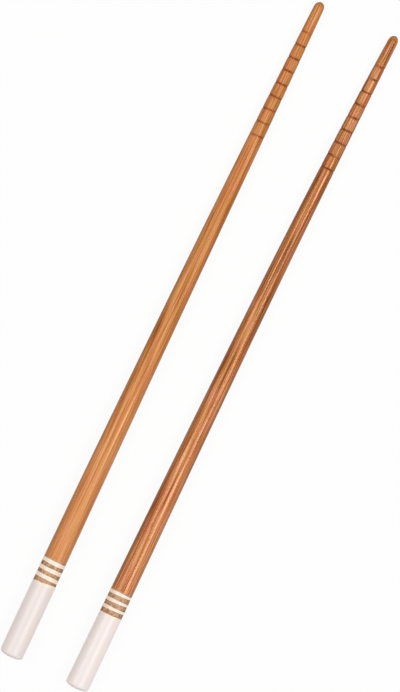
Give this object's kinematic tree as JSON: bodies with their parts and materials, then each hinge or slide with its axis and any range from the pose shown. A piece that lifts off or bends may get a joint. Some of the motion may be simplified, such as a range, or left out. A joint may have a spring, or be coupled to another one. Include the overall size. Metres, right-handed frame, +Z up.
{
  "type": "pair of wooden chopsticks",
  "caption": "Pair of round, tapered wooden chopsticks with grip grooves near the tips and painted rings and ends on the handles, lying side by side.",
  "frame": {"origin": "on the table under the middle of the pair's bounding box", "axes": "+Y along the sticks towards their tips, +X across the pair to the right, +Z up from the table"},
  "size_m": [0.0328, 0.2406, 0.0082],
  "materials": {
    "golden_wood": "satin clear lacquer over straight-grained golden-brown wood",
    "reddish_wood": "semi-gloss clear lacquer over straight-grained reddish-brown wood",
    "white_paint": "satin off-white lacquer"
  },
  "bodies": {
    "root": {"chopstick_left": "golden_wood", "chopstick_right": "reddish_wood"}
  },
  "joints": []
}
